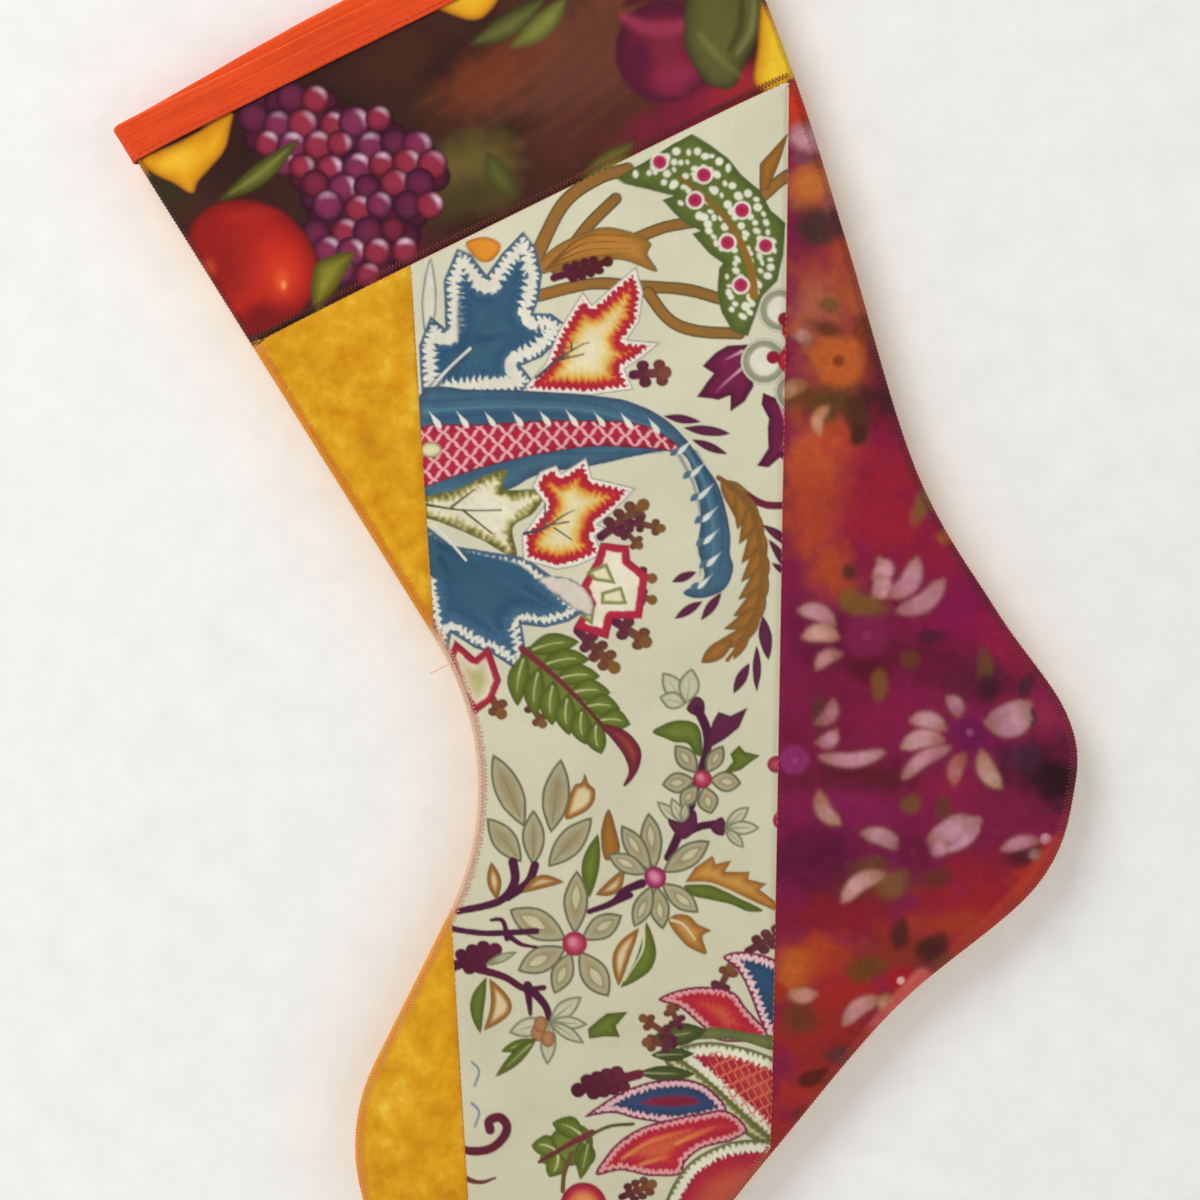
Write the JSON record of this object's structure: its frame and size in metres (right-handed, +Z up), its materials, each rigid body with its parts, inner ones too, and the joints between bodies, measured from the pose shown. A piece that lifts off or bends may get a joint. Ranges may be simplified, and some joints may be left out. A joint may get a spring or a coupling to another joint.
{
  "type": "hanging stocking",
  "caption": "Quilted patchwork cloth stocking with a bound open mouth and a tape loop that swings on a hook; it lifts away from the wall at the loop's fold.",
  "frame": {"origin": "centre of the hook inside the hanging loop's crown", "axes": "+Z up, -Y out of the wall towards the viewer, +X to the viewer's right (the heel side); the stocking is stored hanging at its balance tilt"},
  "size_m": [0.3294, 0.0138, 0.5473],
  "materials": {
    "orange_tape": "matte cotton",
    "fruit_print": "matte printed cotton",
    "golden_cotton": "matte mottled cotton",
    "floral_print": "matte printed cotton",
    "batik_print": "matte dyed cotton",
    "lining_cotton": "matte plain cotton",
    "batting": "matte felted fibre",
    "apricot_thread": "satin thread",
    "maroon_thread": "satin thread"
  },
  "bodies": {
    "loop_on_hook": {"loop_crown": "orange_tape"},
    "loop": {"loop_legs": "orange_tape"},
    "stocking": {"loop_tails": "orange_tape", "loop_tack_stitches": "apricot_thread", "top_binding": "orange_tape", "binding_stitches": "apricot_thread", "front_cuff_band": "fruit_print", "cuff_seam_stitches": "maroon_thread", "front_leg_wedge": "golden_cotton", "front_center_panel": "floral_print", "front_batik_panel": "batik_print", "front_toe_panel": "golden_cotton", "patchwork_seam_threads": "apricot_thread", "front_batting": "batting", "front_lining": "lining_cotton", "back_lining": "lining_cotton", "back_batting": "batting", "back_panel": "golden_cotton", "edge_overcast": "apricot_thread"}
  },
  "joints": [
    {"name": "swing_on_hook", "type": "hinge", "parent": "loop_on_hook", "child": "loop", "pos_m": [0, 0, 0], "axis": [0, 1, 0], "range_deg": [-30, 30]},
    {"name": "lift_from_wall", "type": "hinge", "parent": "loop", "child": "stocking", "pos_m": [0, 0, -0.035], "axis": [-1, 0, 0], "range_deg": [0, 60]}
  ]
}
